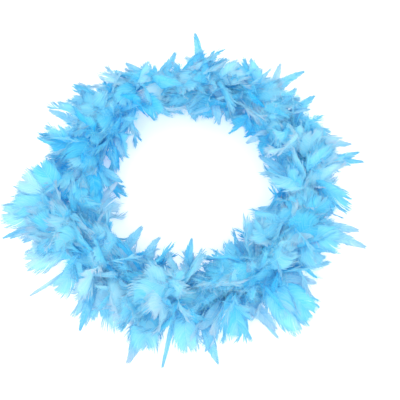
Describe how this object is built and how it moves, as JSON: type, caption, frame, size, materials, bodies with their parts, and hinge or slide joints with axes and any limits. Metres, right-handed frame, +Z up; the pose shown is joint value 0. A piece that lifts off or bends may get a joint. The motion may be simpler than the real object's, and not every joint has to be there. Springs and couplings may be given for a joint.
{
  "type": "feather boa",
  "caption": "Long soft scarf of feathers bound around a cord, laid down as an open ring; the cord bends at upright hinges until it lies straight.",
  "frame": {"origin": "on the floor under the middle of the ring that the boa is laid in", "axes": "+Z up from the floor; +X from the ring's middle away from the boa's two ends, towards the middle of its length; +Y towards the half that ends at end A"},
  "size_m": [0.8803, 0.7902, 0.1273],
  "materials": {
    "cord": "twisted cotton cord dyed blue",
    "thread": "dyed binding thread",
    "feathers": "soft sky-blue dyed feathers with a satin sheen"
  },
  "bodies": {
    "link_01": {"core_cord_01": "cord", "binding_thread_01": "thread", "feathers_01": "feathers", "end_whipping_a": "thread", "end_knot_a": "cord", "end_tuft_a": "feathers"},
    "link_02": {"core_cord_02": "cord", "binding_thread_02": "thread", "feathers_02": "feathers"},
    "link_03": {"core_cord_03": "cord", "binding_thread_03": "thread", "feathers_03": "feathers"},
    "link_04": {"core_cord_04": "cord", "binding_thread_04": "thread", "feathers_04": "feathers"},
    "link_05": {"core_cord_05": "cord", "binding_thread_05": "thread", "feathers_05": "feathers"},
    "link_06": {"core_cord_06": "cord", "binding_thread_06": "thread", "feathers_06": "feathers"},
    "link_07": {"core_cord_07": "cord", "binding_thread_07": "thread", "feathers_07": "feathers"},
    "link_08": {"core_cord_08": "cord", "binding_thread_08": "thread", "feathers_08": "feathers"},
    "link_09": {"core_cord_09": "cord", "binding_thread_09": "thread", "feathers_09": "feathers"},
    "link_10": {"core_cord_10": "cord", "binding_thread_10": "thread", "feathers_10": "feathers"},
    "link_11": {"core_cord_11": "cord", "binding_thread_11": "thread", "feathers_11": "feathers"},
    "link_12": {"core_cord_12": "cord", "binding_thread_12": "thread", "feathers_12": "feathers", "end_whipping_b": "thread", "end_knot_b": "cord", "end_tuft_b": "feathers"}
  },
  "joints": [
    {"name": "bend_01", "type": "hinge", "parent": "link_02", "child": "link_01", "pos_m": [-0.21287, 0.16932, 0.06], "axis": [0, 0, -1], "range_deg": [0, 34.3]},
    {"name": "bend_02", "type": "hinge", "parent": "link_03", "child": "link_02", "pos_m": [-0.10715, 0.25, 0.06], "axis": [0, 0, -1], "range_deg": [0, 28.3]},
    {"name": "bend_03", "type": "hinge", "parent": "link_04", "child": "link_03", "pos_m": [0.02418, 0.27092, 0.06], "axis": [0, 0, -1], "range_deg": [0, 28.3]},
    {"name": "bend_04", "type": "hinge", "parent": "link_05", "child": "link_04", "pos_m": [0.14973, 0.22708, 0.06], "axis": [0, 0, -1], "range_deg": [0, 28.3]},
    {"name": "bend_05", "type": "hinge", "parent": "link_06", "child": "link_05", "pos_m": [0.23949, 0.12895, 0.06], "axis": [0, 0, -1], "range_deg": [0, 28.3]},
    {"name": "bend_06", "type": "hinge", "parent": "link_06", "child": "link_07", "pos_m": [0.272, 0, 0.06], "axis": [0, 0, 1], "range_deg": [0, 28.3]},
    {"name": "bend_07", "type": "hinge", "parent": "link_07", "child": "link_08", "pos_m": [0.23949, -0.12895, 0.06], "axis": [0, 0, 1], "range_deg": [0, 28.3]},
    {"name": "bend_08", "type": "hinge", "parent": "link_08", "child": "link_09", "pos_m": [0.14973, -0.22708, 0.06], "axis": [0, 0, 1], "range_deg": [0, 28.3]},
    {"name": "bend_09", "type": "hinge", "parent": "link_09", "child": "link_10", "pos_m": [0.02418, -0.27092, 0.06], "axis": [0, 0, 1], "range_deg": [0, 28.3]},
    {"name": "bend_10", "type": "hinge", "parent": "link_10", "child": "link_11", "pos_m": [-0.10715, -0.25, 0.06], "axis": [0, 0, 1], "range_deg": [0, 28.3]},
    {"name": "bend_11", "type": "hinge", "parent": "link_11", "child": "link_12", "pos_m": [-0.21287, -0.16932, 0.06], "axis": [0, 0, 1], "range_deg": [0, 22.3]}
  ]
}
